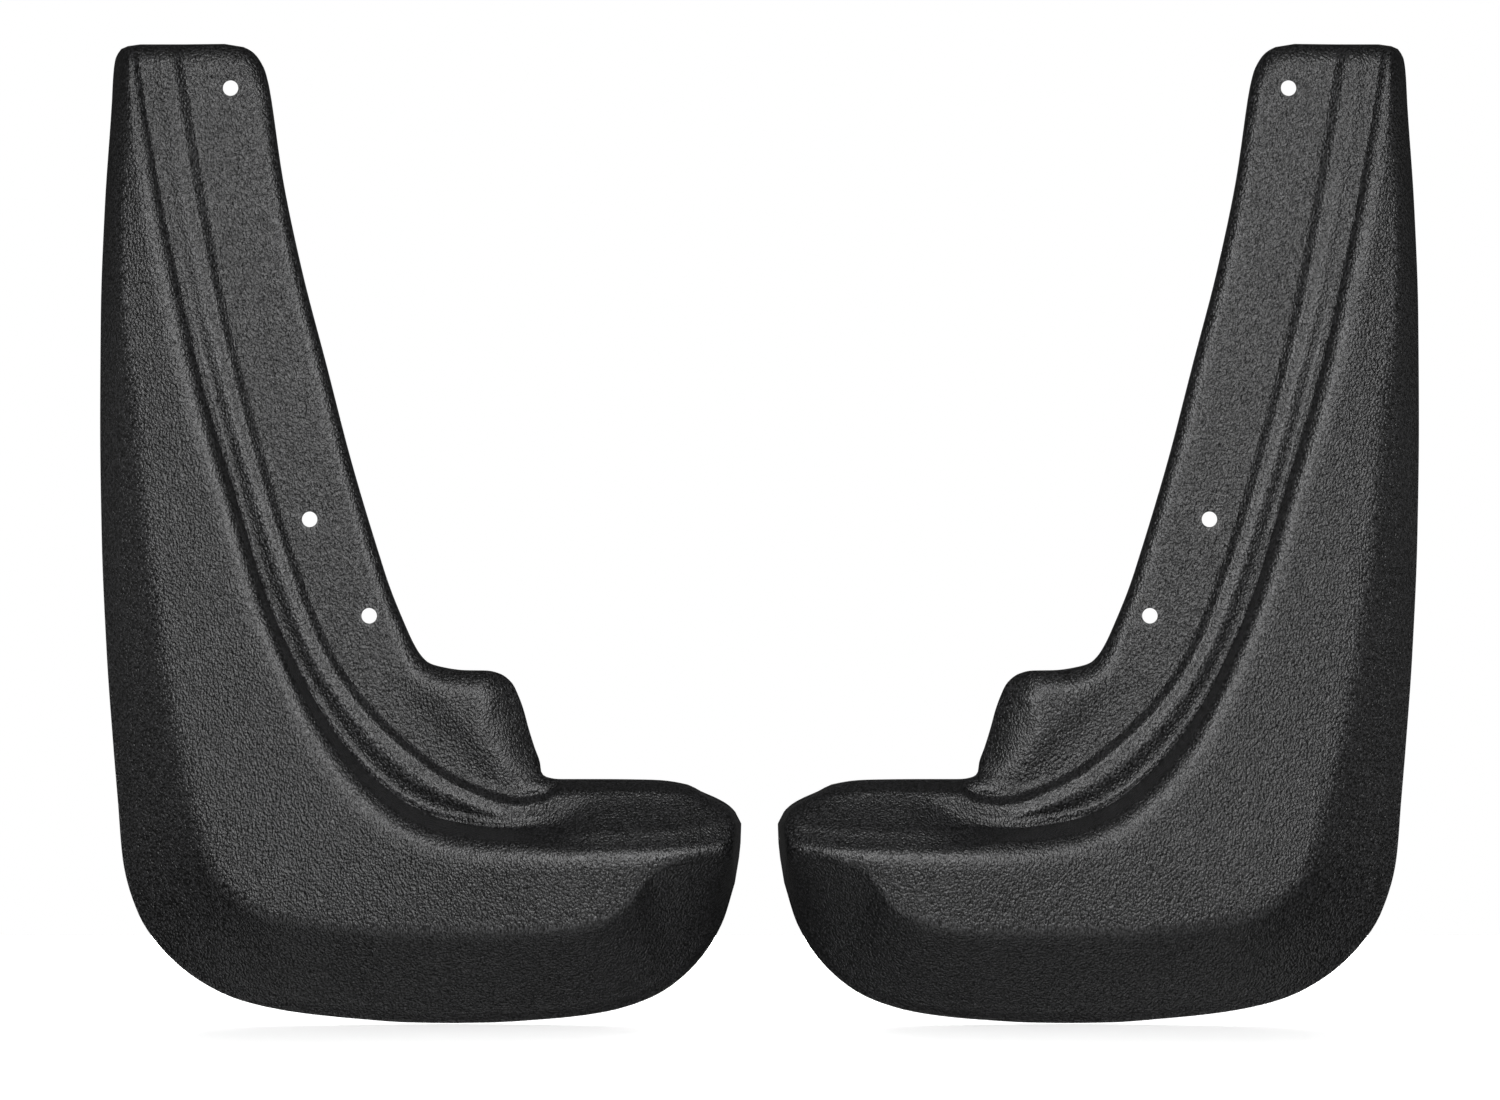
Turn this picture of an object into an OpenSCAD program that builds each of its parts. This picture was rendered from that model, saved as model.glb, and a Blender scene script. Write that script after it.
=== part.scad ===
// A pair of moulded mud flaps for the rear wheel arches of a vehicle, left and right.
// Each flap is one thin sheet: a flat flange with three screw holes, a beaded wall beside it,
// a raised splash face that turns into a deep foot, and a rim that folds back all round.
// +Z is up, +X runs across the vehicle and the grained face looks along -Y.
// The origin is the left flap's top screw hole, on the flange's front face.

/* [Flap] */
// Height of one flap, from its top edge to the lowest point of its foot
flap_height = 441; // [420:1:460]
// Width of one flap, from its outer side to the end of its foot
flap_width = 289; // [277:0.5:301]
// How far the foot stands out in front of the flange
foot_projection = 37; // [34:0.5:40]
// Depth from the flange's front face back to the trimmed rim
rim_depth = 10; // [9:0.5:12]
// Thickness of the moulded sheet
sheet_thickness = 3; // [2.5:0.25:3.25]

/* [Details] */
// Radius of the rounded crest beside the beaded wall
crest_radius = 5; // [4.5:0.25:5.5]
// Softness of the bend between the splash face and the bevel around it
bevel_softness = 2.5; // [1.5:0.25:4]
// Softness of the corner at the foot of the wall
wall_foot_softness = 2; // [1:0.25:3]
// Height of the narrow ledge along the inside of the foot
ledge_height = 1; // [0:0.1:1.6]

/* [Screw holes] */
// Diameter of each screw hole
screw_hole_d = 7; // [5:0.5:8]

/* [Pair] */
// Gap between the ends of the two feet
pair_gap = 16.4; // [5:0.2:60]

/* [Hidden] */

// The guides below are drawn at this size, and stretch with the driving dimensions
drawn_height = 441;
drawn_width = 289;
drawn_projection = 37;
stretch_x = flap_width / drawn_width;
stretch_z = flap_height / drawn_height;
stretch_y = foot_projection / drawn_projection;
foot_end_x = 229.9 * stretch_x;
mirror_x = foot_end_x + pair_gap / 2;

screw_holes = [[0, 0], [35.6, -194.1], [62.4, -237.5]];
hole_reach = 8;
draft_angle = 84;
plastic_black = [0.07, 0.07, 0.075];

// Every guide runs down the flap beside the crest line and then along the foot.
// Its rows are [distance down the crest, x, z, height in front of the flange].
last = 538;

// Outer edge of the sheet
outer_guide = [
    [0, -51, 16, 0], [4, -52.2, 13.3, 0], [12, -53.1, 7, 0], [25, -53.9, -7.5, 0], [71, -57, -53.5, -1],
    [117, -58.8, -102, -3], [163, -59.1, -151.5, -5], [210, -58.4, -202, -6.5], [257, -56.1, -255, -8],
    [295, -53.1, -297, -8.5], [312, -51.1, -321.1, -9], [327, -48.9, -347.2, -9],
    [343, -41.9, -371.7, -9], [359, -23, -395.6, -9], [373, 3.5, -410.6, -9], [384, 29.7, -416.3, -9],
    [394, 55.9, -419.1, -9], [406, 79.6, -420.8, -9], [417, 98, -421.1, -9], [430, 115, -420.9, -9],
    [448, 139.6, -419.5, -9], [457, 150.2, -418.6, -9], [475, 169.3, -415.9, -9], [493, 190.5, -409, -9],
    [511, 209.6, -394.2, -9], [527, 221.4, -375.7, -9], [538, 227, -358, -9]
];
// Bend between the splash face and the bevel
bevel_guide = [
    [0, -49.6, 17.9, 3], [25, -50, -6.5, 4.6], [71, -50, -52.5, 6.2], [117, -48.5, -101, 6.6],
    [163, -42, -148, 7.1], [210, -38, -195, 8.2], [257, -31.5, -244, 9.6], [295, -25.5, -284, 11.5],
    [327, -18.5, -313.5, 14], [343, -14, -333, 16], [359, -8, -351, 18], [373, 1, -362, 20],
    [384, 16, -372, 21.6], [394, 38, -376, 23.6], [406, 63, -378.5, 26.2], [417, 90, -379.5, 28.3],
    [430, 114.5, -379.5, 30.6], [448, 141.5, -379, 32.8], [457, 153, -378, 33.3],
    [475, 166.5, -375, 33.6], [484, 175.5, -370.5, 33.6], [493, 183, -364, 33.4],
    [502, 189.5, -355.5, 33.2], [511, 198, -350.5, 32.6], [527, 215, -347.5, 27.3],
    [538, 228.9, -346.5, 20.3]
];
// Crest of the splash face, beside the wall
crest_guide = [
    [0, -46.6, 19.2, 7.4], [25, -43.5, -5.5, 8.2], [71, -36.5, -50.5, 9], [117, -28, -95.5, 9.4],
    [163, -17.5, -140.5, 9.8], [210, -4, -185.5, 10.9], [257, 9.5, -231, 13], [295, 24, -266, 16.5],
    [327, 38, -294.5, 20], [359, 57.5, -320, 24.6], [384, 77, -335.5, 27.7], [406, 97, -343, 30.3],
    [430, 121.5, -346, 33.6], [457, 148.5, -346, 36], [475, 166.5, -345.5, 36.4], [511, 202.5, -344, 34],
    [527, 218, -342, 29], [538, 229.6, -340, 23]
];
// Foot of the wall, where the beads begin
wall_guide = [
    [0, -40.9, 20, 4.2], [25, -37.7, -5.3, 4.2], [71, -29.2, -50.2, 4.2], [117, -19.7, -95.1, 4],
    [163, -8.8, -140, 3.3], [219, 5.2, -192, 2.3], [257, 15.7, -227.9, 2], [295, 30.1, -262.3, 2],
    [327, 46, -289.1, 2.5], [359, 65.3, -311.2, 3.1], [384, 84.8, -324.4, 3.7],
    [406, 101.5, -329.4, 5.2], [417, 109.8, -330.7, 6.9], [430, 122, -332.2, 9.4],
    [439, 131, -332.8, 11.2], [457, 148.5, -330.5, 14.6], [475, 166.5, -328.5, 17.8],
    [511, 202.5, -328, 17.3], [527, 218, -328, 15], [538, 229.9, -331.2, 11]
];
// Valley between the beads and the flange
valley_guide = [
    [0, -21.4, 20, 0], [25, -17.2, -4.9, 0], [71, -9.8, -49.7, 0], [117, -1.4, -94.7, 0],
    [163, 9.6, -139.5, 0], [219, 22.6, -186.3, 0], [257, 33.7, -221, 0], [295, 47.5, -253.7, 0],
    [327, 63.4, -276.4, 0], [359, 82.4, -294.7, 0], [384, 98.7, -306.7, 0.1], [417, 112.9, -313.9, 0.5],
    [439, 131, -318.2, 1.8], [448, 141.5, -316.8, 2], [457, 148.5, -313.3, 1.4],
    [475, 166.5, -313.1, 1.2], [493, 189, -313, 1.2], [511, 204.7, -315, 1.2], [527, 217.2, -321, 1],
    [538, 227.2, -325.9, 1]
];
// Side of the flat flange towards the valley
flange_guide = [
    [0, -3, 20.2], [6, 1.5, 12.5], [14, -5.7, 5], [25, -12.9, -3.4], [71, -6.9, -48.4],
    [117, 1.6, -93.4], [163, 12.7, -137.8], [219, 25.2, -184.8], [257, 36.2, -220.3],
    [295, 50.2, -252.7], [327, 65.7, -275.1], [359, 85.1, -292.4], [384, 100.9, -304.3],
    [417, 115.2, -311.4], [439, 132, -316], [448, 141.6, -314.5], [457, 148.5, -312.3],
    [475, 166.5, -312.3], [493, 189.5, -312.2], [511, 205.1, -314.2], [527, 217.6, -320.1],
    [538, 226.2, -324.7]
];
// Inner edge of the sheet: flange side, tab and the rear edge of the foot
inner_guide = [
    [0, 5.6, 18.8], [2, 8.4, 17.4], [4, 10.6, 15.7], [7, 13, 12.6], [12, 15.3, 8], [18, 16.4, 4],
    [25, 17.2, 0.5], [71, 23.4, -41], [117, 32.1, -82.5], [163, 43, -124.5], [210, 54.2, -167.9],
    [257, 66.8, -210.1], [276, 71.5, -224.5], [295, 78.8, -242.5], [303, 82, -249.5],
    [312, 85.7, -255.5], [319, 89, -258.6], [327, 93.1, -260.1], [343, 105, -262], [359, 115.1, -262.2],
    [373, 121.4, -263.7], [384, 126.7, -268], [394, 129.2, -272.9], [406, 131.8, -279.9],
    [417, 134, -288], [430, 136.8, -297], [439, 139.2, -303.8], [444, 139.8, -308], [448, 141.8, -310],
    [457, 148.5, -311.1], [475, 166.5, -311.1], [493, 190, -311.4], [511, 205.5, -313.5],
    [519, 212, -316.7], [527, 218, -319.3], [534, 222.5, -321.7], [538, 224.5, -323.1]
];

// The lists below are [distance down the crest, value].
// Height of the main bead
bead_height = [
    [0, 4.6], [71, 4.6], [117, 4.5], [163, 4.5], [210, 4.5], [295, 4.8], [327, 5.5], [359, 6.3],
    [384, 6.9], [406, 7.8], [417, 8.3], [430, 9.1], [439, 9.7], [448, 10.3], [475, 11], [511, 10.6],
    [527, 8.8], [538, 6.6]
];
// Small bead beside the wall, and the groove between the two beads, above the wall's foot
small_bead_rise = [
    [0, 0], [117, 0], [163, 0.2], [210, 0.5], [295, 0.7], [359, 0.8], [406, 0.6], [417, 0.3],
    [430, -0.1], [457, -1.6], [475, -3], [538, -2.2]
];
groove_rise = [
    [0, 0], [117, -0.05], [163, -0.1], [210, 0.2], [295, 0.3], [359, 0.4], [384, 0.4], [406, 0.2],
    [417, 0], [430, -0.3], [457, -2.8], [475, -5.5], [538, -4]
];
// Places of the small bead, the groove and the main bead's crown and shoulder, as shares of the way
// from the wall's foot to the valley
small_bead_place = [
    [0, 0.12], [210, 0.07], [257, 0.11], [327, 0.12], [359, 0.1], [384, 0.12], [406, 0.14], [430, 0.14],
    [475, 0.16], [538, 0.16]
];
groove_place = [
    [0, 0.2], [210, 0.13], [257, 0.15], [327, 0.17], [359, 0.16], [384, 0.18], [406, 0.19], [430, 0.24],
    [475, 0.32], [538, 0.32]
];
crown_place = [
    [0, 0.42], [163, 0.42], [210, 0.47], [257, 0.52], [295, 0.5], [327, 0.55], [359, 0.55], [384, 0.56],
    [406, 0.5], [430, 0.35], [457, 0.46], [475, 0.5], [538, 0.5]
];
shoulder_place = [
    [0, 0.68], [71, 0.67], [163, 0.67], [210, 0.68], [257, 0.72], [295, 0.72], [327, 0.75], [359, 0.77],
    [384, 0.76], [406, 0.75], [430, 0.66], [457, 0.75], [475, 0.78], [538, 0.78]
];
// Fall of the main bead from its crown to its shoulder
shoulder_fall = [
    [0, 0.6], [295, 0.6], [384, 0.8], [417, 0.9], [430, 1.2], [457, 2.2], [475, 2.6], [538, 2.2]
];
// Steepness of the wall, in degrees
wall_angle = [
    [0, 60], [71, 60], [117, 60], [163, 61], [210, 68], [295, 74], [430, 74], [448, 66], [475, 48],
    [538, 47]
];
// Radius of the crest, as a multiple of its smallest radius
crest_growth = [
    [0, 1.1], [25, 1.2], [71, 1.3], [117, 1.6], [163, 1.5], [210, 1.3], [295, 1.3], [327, 1.7], [359, 2],
    [384, 2.1], [430, 2.1], [457, 1.4], [538, 1.1]
];
// Slope at which the splash face meets the crest's rounding, and the width over which it turns to that slope
crest_fall = 0.16;
crest_run_in = 5;
// Share of the ledge that shows along the wall
ledge_share = [[0, 0], [448, 0], [475, 1], [527, 1], [538, 0.6]];
ledge_from_crest = 11;
ledge_width = 2.6;
// Raised pad on the tab, and the height of the foot's rear edge
pad_height = [[0, 0], [300, 0], [330, 1.6], [350, 3], [430, 3], [444, 2], [452, 0], [538, 0]];
edge_height = [[0, 0], [430, 0], [448, 1], [457, -0.4], [475, -0.5], [538, -0.5]];
pad_low_x = 72;
pad_high_x = 96;
pad_lean = 1;
pad_level = -271;
// Radius of the fold along the outer and inner edges
outer_fold_radius = [[0, 8.5], [25, 8.5], [71, 9], [295, 9], [359, 8], [384, 6], [417, 5], [538, 4.5]];
inner_fold_radius = [
    [0, 8.5], [12, 8], [25, 5.2], [295, 5.2], [312, 7], [335, 9], [366, 11], [378, 20], [390, 28],
    [425, 28], [442, 10], [448, 5], [457, 4], [538, 4.5]
];
// Depth and width of the gentle roll that leads into the fold, and the height over which it sets in
edge_roll = 1.6;
edge_roll_width = 12;
edge_roll_onset = 4;

// Rows of the mesh, closer together where the edge folds or the outline turns
rows = concat(
    [0, 0.6, 2, 4, 7, 12, 18],
    [for (s = [25:23:255]) s],
    [for (s = [257:7:453]) s],
    [for (s = [460:11:526]) s],
    [527, 531, 534, 536, 537.4, last]
);
// Number of mesh columns between each guide and the next, from the outer edge to the inner one
column_counts = [9, 6, 7, 2, 3, 3, 3, 4, 3, 8];
column_total = len([for (count = column_counts, step = [1:count]) step]) + 1;
outer_span = 0;
inner_span = len(column_counts) - 1;
wall_span = 2;
// Each column is [guide before it, share of the way to the next]; columns crowd towards both edges
columns = concat(
    [for (span = [0:inner_span], step = [0:column_counts[span] - 1])
        let (
            share = step / column_counts[span],
            crowded = span == outer_span ? share * share
                : span == inner_span ? 1 - (1 - share) * (1 - share)
                : share
        )
        [span, crowded]],
    [[inner_span, 1]]
);
row_total = len(rows);
// Rows to either side of a point that can hold its nearest stretch of edge
edge_window = 8;
// The beads are half as deep on the back as on the front
back_bead_share = 0.5;

// Curve through a list's rows that never overshoots them: value of field k at distance s
function rise(list, i, k) = (list[i + 1][k] - list[i][k]) / (list[i + 1][0] - list[i][0]);
function slope_at(list, i, k) =
    i == 0 ? rise(list, 0, k)
    : i == len(list) - 1 ? rise(list, i - 1, k)
    : let (
        before = rise(list, i - 1, k),
        after = rise(list, i, k),
        near = list[i][0] - list[i - 1][0],
        far = list[i + 1][0] - list[i][0]
    )
    before * after <= 0 ? 0 : 3 * (near + far) / ((2 * far + near) / before + (far + 2 * near) / after);
function stretch_of(list, s, i = 0) =
    i >= len(list) - 2 || s < list[i + 1][0] ? i : stretch_of(list, s, i + 1);
function along(list, s, k = 1) =
    let (
        i = stretch_of(list, s),
        length = list[i + 1][0] - list[i][0],
        t = (s - list[i][0]) / length,
        u = 1 - t
    )
    list[i][k] * (1 + 2 * t) * u * u + slope_at(list, i, k) * length * t * u * u
    + list[i + 1][k] * t * t * (3 - 2 * t) - slope_at(list, i + 1, k) * length * t * t * u;

// Place and height of a guide at distance s
function place(guide, s) = [along(guide, s, 1) * stretch_x, along(guide, s, 2) * stretch_z];
function height(guide, s) = along(guide, s, 3) * stretch_y;

// Rounded lower and upper envelope of two heights
function overlap_of(a, b, softness) = max(softness - abs(a - b), 0) / softness;
function soft_min(a, b, softness) = min(a, b) - pow(overlap_of(a, b, softness), 2) * softness / 4;
function soft_max(a, b, softness) = max(a, b) + pow(overlap_of(a, b, softness), 2) * softness / 4;
function smooth_step(t) = let (c = min(max(t, 0), 1)) c * c * (3 - 2 * c);

// Flat flange, with the raised pad on its tab
function flange_height(p, s) =
    let (across = p[0] / stretch_x + pad_lean * (p[1] / stretch_z - pad_level))
    stretch_y * (along(pad_height, s) * smooth_step((across - pad_low_x) / (pad_high_x - pad_low_x))
        + along(edge_height, s));

// Shift of an edge guide towards the middle of the sheet; side is 1 for the outer edge and -1 for the inner
function inward(guide, s, side, inset) =
    let (
        step = place(guide, min(s + 0.5, last)) - place(guide, max(s - 0.5, 0)),
        across = [-step[1], step[0]] / norm(step)
    )
    across * side * inset;

// One row of a sheet, before its edges fold back: points [x, z, height].
// inset is 0 for the front sheet and the thickness for the back one.
function sheet_row(s, inset) =
    let (
        outer = place(outer_guide, s),
        bevel = place(bevel_guide, s),
        crest = place(crest_guide, s),
        wall = place(wall_guide, s),
        valley = place(valley_guide, s),
        flange = place(flange_guide, s),
        inner = place(inner_guide, s),
        bevel_width = norm(bevel - outer),
        face_width = norm(crest - bevel),
        wall_width = norm(wall - crest),
        bead_width = norm(valley - wall),
        step_width = norm(flange - valley),
        inner_width = bead_width + step_width + norm(inner - flange),
        outer_shift = inward(outer_guide, s, 1, inset),
        inner_shift = inward(inner_guide, s, -1, inset),
        moved_bevel = bevel + outer_shift * face_width / (bevel_width + face_width),
        moved_valley = valley + inner_shift * bead_width / inner_width,
        moved_flange = flange + inner_shift * (bead_width + step_width) / inner_width,
        shares = [
            for (places = [small_bead_place, groove_place, crown_place, shoulder_place]) along(places, s)
        ],
        guides = [
            outer + outer_shift,
            moved_bevel,
            crest,
            wall,
            each [for (share = shares) wall + (moved_valley - wall) * share],
            moved_valley,
            moved_flange,
            inner + inner_shift
        ],
        outer_h = height(outer_guide, s),
        bevel_h = height(bevel_guide, s),
        crest_h = height(crest_guide, s),
        wall_h = height(wall_guide, s),
        valley_h = height(valley_guide, s),
        bevel_slope = (bevel_h - outer_h) / bevel_width,
        run_in = min(crest_run_in, 0.8 * face_width),
        face_slope = (crest_h - bevel_h + crest_fall * run_in / 2) / (face_width - run_in / 2),
        turn = (face_slope + crest_fall) / (2 * run_in),
        bead_slope = (wall_h - valley_h) / bead_width,
        bead_keep = inset > 0 ? back_bead_share : 1,
        crown_h = along(bead_height, s),
        tops = [
            wall_h + along(small_bead_rise, s) * stretch_y,
            wall_h + along(groove_rise, s) * stretch_y,
            crown_h * stretch_y,
            (crown_h - along(shoulder_fall, s)) * stretch_y
        ],
        bead_tops = [for (i = [0:len(shares) - 1])
            let (plain = wall_h - bead_slope * bead_width * shares[i])
            plain + (tops[i] - plain) * bead_keep],
        flange_h = flange_height(flange, s),
        valley_q = wall_width + bead_width,
        flange_q = valley_q + step_width,
        beads = [
            [wall_width, wall_h],
            each [for (i = [0:len(shares) - 1]) [wall_width + bead_width * shares[i], bead_tops[i]]],
            [valley_q, valley_h],
            [flange_q, flange_h],
            [wall_width + inner_width, flange_h]
        ],
        steepness = along(wall_angle, s),
        full_r = crest_radius * along(crest_growth, s),
        round_r = full_r - inset,
        fall_angle = atan(crest_fall),
        centre_q = -full_r * sin(fall_angle),
        centre_h = crest_h - full_r * cos(fall_angle),
        round_start = centre_q + round_r * sin(fall_angle),
        round_end = centre_q + round_r * sin(steepness),
        ledge = ledge_height * along(ledge_share, s),
        guide_q = running_sum([for (i = [0:len(guides) - 2]) norm(guides[i + 1] - guides[i])])
    )
    [for (column = columns)
        let (
            span = column[0],
            p = guides[span] + (guides[span + 1] - guides[span]) * column[1],
            q = guide_q[span] + (guide_q[span + 1] - guide_q[span]) * column[1] - guide_q[wall_span],
            bevel_line = bevel_h + bevel_slope * (q + face_width) - inset * norm([1, bevel_slope]),
            face_line = crest_h + face_slope * q + turn * (pow(run_in, 2) - pow(max(q + run_in, 0), 2))
                - inset * norm([1, face_slope]),
            round_q = min(max(q, round_start), round_end) - centre_q,
            crest_line = centre_h + sqrt(round_r * round_r - round_q * round_q)
                - max(q - round_end, 0) * tan(steepness),
            bulge = soft_min(bevel_line, q > round_start ? crest_line : face_line, bevel_softness)
                + ledge * exp(-pow((q - ledge_from_crest) / ledge_width, 2)),
            bead_line = q >= flange_q
                ? flange_height(p, s) - inset
                : along(beads, max(q, wall_width)) - inset * norm([1, bead_slope]),
            h = q >= flange_q ? bead_line
                : q <= 0 ? bulge
                : soft_max(bulge, bead_line, wall_foot_softness)
        )
        [p[0], p[1], h]];

function running_sum(list, i = 0, total = 0) =
    i == len(list) ? [total] : concat([total], running_sum(list, i + 1, total + list[i]));

// Distance in the flange's plane from p to the stretch a-b, and to the nearest part of an edge
function flat(p) = [p[0], p[1]];
function stretch_distance(p, a, b) =
    let (ab = b - a, t = min(max((p - a) * ab / (ab * ab), 0), 1))
    norm(p - a - ab * t);
function nearest(p, edge, first, final) =
    min([for (i = [max(first, 0):min(final, len(edge) - 1) - 1]) stretch_distance(p, edge[i], edge[i + 1])]);

// Drop of the folded edge at distance d, for a fold of radius r above a rim that lies b below
function fold_drop(d, b, r) =
    let (
        arc_drop = r * (1 - cos(draft_angle)),
        straight = max(b - arc_drop, 0) / tan(draft_angle),
        width = b > arc_drop ? r * sin(draft_angle) + straight : sqrt(max(2 * r * b - b * b, 0)),
        into_arc = min(max(width - d, 0), r)
    )
    d < straight ? b - d * tan(draft_angle) : r - sqrt(r * r - into_arc * into_arc);

// A whole sheet, with its edges folded back to the rim
function sheet(inset) =
    let (
        shares = [for (s = rows) inset + (last - 2 * inset) * s / last],
        raw = [for (s = shares) sheet_row(s, inset)],
        outer_edge = [for (row = raw) flat(row[0])],
        inner_edge = [for (row = raw) flat(row[column_total - 1])],
        top_edge = [for (p = raw[0]) flat(p)],
        end_edge = [for (p = raw[row_total - 1]) flat(p)]
    )
    [for (i = [0:row_total - 1])
        let (outer_r = along(outer_fold_radius, shares[i]), inner_r = along(inner_fold_radius, shares[i]))
        for (j = [0:column_total - 1])
            let (
                p = flat(raw[i][j]),
                h = raw[i][j][2],
                on_edge = i == 0 || i == row_total - 1 || j == 0 || j == column_total - 1,
                d = min(
                    nearest(p, outer_edge, i - edge_window, i + edge_window),
                    nearest(p, inner_edge, i - edge_window, i + edge_window),
                    i < edge_window ? nearest(p, top_edge, 0, column_total) : last,
                    i > row_total - 1 - edge_window ? nearest(p, end_edge, 0, column_total) : last
                ),
                radius = (columns[j][0] <= wall_span ? outer_r : inner_r) - inset,
                roll = edge_roll * pow(max(1 - (d + inset) / edge_roll_width, 0), 2)
                    * smooth_step((h + inset) / edge_roll_onset + 1),
                unfolded = max(h - roll, -rim_depth),
                folded = on_edge ? -rim_depth : unfolded - fold_drop(d, unfolded + rim_depth, radius)
            )
            [p[0], -folded, p[1]]];

// Two triangles for each cell of the mesh, split so that every corner of the sheet lies on a split
function cell_faces(a, b, c, d) = [[a, b, c], [a, c, d]];
function grid_faces(start, facing) =
    [for (i = [0:row_total - 2], j = [0:column_total - 2])
        let (
            a = start + i * column_total + j,
            b = a + column_total,
            turned = (i < row_total / 2) != (j < column_total / 2)
        )
        each facing
            ? (turned ? cell_faces(b, a, a + 1, b + 1) : cell_faces(a, a + 1, b + 1, b))
            : (turned ? cell_faces(b, b + 1, a + 1, a) : cell_faces(a, b, b + 1, a + 1))];
// Rim between the two sheets: the mesh points of the boundary, in order round it
boundary = concat(
    [for (j = [0:column_total - 2]) j],
    [for (i = [0:row_total - 2]) i * column_total + column_total - 1],
    [for (j = [column_total - 1:-1:1]) (row_total - 1) * column_total + j],
    [for (i = [row_total - 1:-1:1]) i * column_total]
);
function rim_faces(back_start) =
    [for (k = [0:len(boundary) - 1])
        let (a = boundary[k], b = boundary[(k + 1) % len(boundary)])
        each cell_faces(a, a + back_start, b + back_start, b)];

// The moulded sheet of one flap, with its face towards -Y
module moulded_sheet() {
    back_start = row_total * column_total;
    polyhedron(
        points = concat(sheet(0), sheet(sheet_thickness)),
        faces = concat(grid_faces(0, true), grid_faces(back_start, false), rim_faces(back_start))
    );
}

// A flap with its three screw holes
module drilled_flap() {
    difference() {
        moulded_sheet();
        for (hole = screw_holes)
            translate([hole[0] * stretch_x, 0, hole[1] * stretch_z])
                rotate([90, 0, 0])
                    cylinder(d = screw_hole_d, h = 2 * hole_reach, center = true, $fn = 48);
    }
}

module left_mud_flap() {
    color(plastic_black) drilled_flap();
}

module right_mud_flap() {
    color(plastic_black)
        translate([2 * mirror_x, 0, 0])
            mirror([1, 0, 0])
                drilled_flap();
}

left_mud_flap();
right_mud_flap();
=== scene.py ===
import math

import bpy
import numpy as np
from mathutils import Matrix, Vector


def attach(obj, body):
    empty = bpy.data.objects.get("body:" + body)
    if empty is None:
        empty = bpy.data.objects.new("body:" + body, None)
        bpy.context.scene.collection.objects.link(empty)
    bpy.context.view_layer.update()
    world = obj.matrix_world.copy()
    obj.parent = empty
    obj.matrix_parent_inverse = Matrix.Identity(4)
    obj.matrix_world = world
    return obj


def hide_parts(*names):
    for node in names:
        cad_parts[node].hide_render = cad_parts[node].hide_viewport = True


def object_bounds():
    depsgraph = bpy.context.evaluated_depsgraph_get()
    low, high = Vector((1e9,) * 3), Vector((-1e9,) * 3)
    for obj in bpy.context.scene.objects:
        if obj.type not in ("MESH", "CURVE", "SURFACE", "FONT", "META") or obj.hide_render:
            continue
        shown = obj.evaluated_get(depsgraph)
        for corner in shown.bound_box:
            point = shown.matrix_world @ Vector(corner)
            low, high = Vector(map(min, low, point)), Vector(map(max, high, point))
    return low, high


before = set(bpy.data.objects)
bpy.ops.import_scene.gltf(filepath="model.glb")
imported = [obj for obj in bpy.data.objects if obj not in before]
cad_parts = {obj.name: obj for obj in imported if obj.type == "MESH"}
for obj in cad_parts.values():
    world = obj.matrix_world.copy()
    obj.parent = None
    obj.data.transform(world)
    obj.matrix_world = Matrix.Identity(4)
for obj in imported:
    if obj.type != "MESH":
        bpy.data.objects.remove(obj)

cad_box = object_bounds()
MM = 0.001

# ---------------------------------------------------------------- the sheet's shape, in millimetres
# Every guide runs down the flap beside the crest line and then along the foot.
# Its rows are [distance down the crest, x, z, height in front of the flange];
# FLANGE and INNER lie on the flange and have no height of their own.
LAST = 538
OUTER = [
    [0, -51, 16, 0], [4, -52.2, 13.3, 0], [12, -53.1, 7, 0], [25, -53.9, -7.5, 0], [71, -57, -53.5, -1],
    [117, -58.8, -102, -3], [163, -59.1, -151.5, -5], [210, -58.4, -202, -6.5], [257, -56.1, -255, -8],
    [295, -53.1, -297, -8.5], [312, -51.1, -321.1, -9], [327, -48.9, -347.2, -9],
    [343, -41.9, -371.7, -9], [359, -23, -395.6, -9], [373, 3.5, -410.6, -9], [384, 29.7, -416.3, -9],
    [394, 55.9, -419.1, -9], [406, 79.6, -420.8, -9], [417, 98, -421.1, -9], [430, 115, -420.9, -9],
    [448, 139.6, -419.5, -9], [457, 150.2, -418.6, -9], [475, 169.3, -415.9, -9], [493, 190.5, -409, -9],
    [511, 209.6, -394.2, -9], [527, 221.4, -375.7, -9], [538, 227, -358, -9]
]
BEVEL = [
    [0, -49.6, 17.9, 3], [25, -50, -6.5, 4.6], [71, -50, -52.5, 6.2], [117, -48.5, -101, 6.6],
    [163, -42, -148, 7.1], [210, -38, -195, 8.2], [257, -31.5, -244, 9.6], [295, -25.5, -284, 11.5],
    [327, -18.5, -313.5, 14], [343, -14, -333, 16], [359, -8, -351, 18], [373, 1, -362, 20],
    [384, 16, -372, 21.6], [394, 38, -376, 23.6], [406, 63, -378.5, 26.2], [417, 90, -379.5, 28.3],
    [430, 114.5, -379.5, 30.6], [448, 141.5, -379, 32.8], [457, 153, -378, 33.3],
    [475, 166.5, -375, 33.6], [484, 175.5, -370.5, 33.6], [493, 183, -364, 33.4],
    [502, 189.5, -355.5, 33.2], [511, 198, -350.5, 32.6], [527, 215, -347.5, 27.3],
    [538, 228.9, -346.5, 20.3]
]
CREST = [
    [0, -46.6, 19.2, 7.4], [25, -43.5, -5.5, 8.2], [71, -36.5, -50.5, 9], [117, -28, -95.5, 9.4],
    [163, -17.5, -140.5, 9.8], [210, -4, -185.5, 10.9], [257, 9.5, -231, 13], [295, 24, -266, 16.5],
    [327, 38, -294.5, 20], [359, 57.5, -320, 24.6], [384, 77, -335.5, 27.7], [406, 97, -343, 30.3],
    [430, 121.5, -346, 33.6], [457, 148.5, -346, 36], [475, 166.5, -345.5, 36.4], [511, 202.5, -344, 34],
    [527, 218, -342, 29], [538, 229.6, -340, 23]
]
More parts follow.
